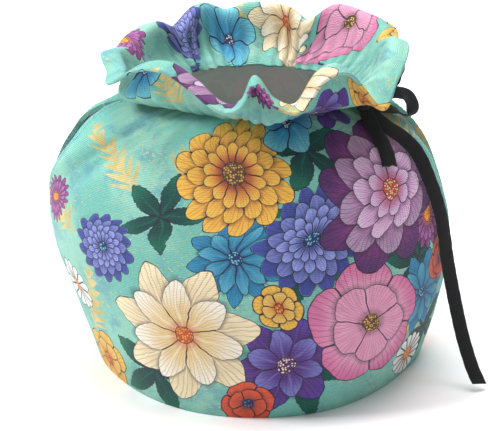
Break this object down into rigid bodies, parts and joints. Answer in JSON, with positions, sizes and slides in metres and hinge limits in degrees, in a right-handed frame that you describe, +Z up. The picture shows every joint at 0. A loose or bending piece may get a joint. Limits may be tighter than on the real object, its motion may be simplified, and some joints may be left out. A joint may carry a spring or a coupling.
{
  "type": "tea cosy",
  "caption": "Fitted cloth tea cosy with a gathered neck, a wavy ruffle, a slit at each side and a ribbon tied in a bow.",
  "frame": {"origin": "middle of the whole thing's outline, on the surface that the hem rests on", "axes": "+Z up through the neck, -Y out of the front, +X to the longer slit and the hanging end of the ribbon"},
  "size_m": [0.216, 0.1753, 0.1685],
  "materials": {
    "printed_cloth": "finely ribbed polyester with a floral print, satin matt",
    "black_ribbon": "narrow black ribbon, soft sheen"
  },
  "bodies": {
    "root": {"front_panel": "printed_cloth", "back_panel": "printed_cloth", "ribbon": "black_ribbon"}
  },
  "joints": []
}
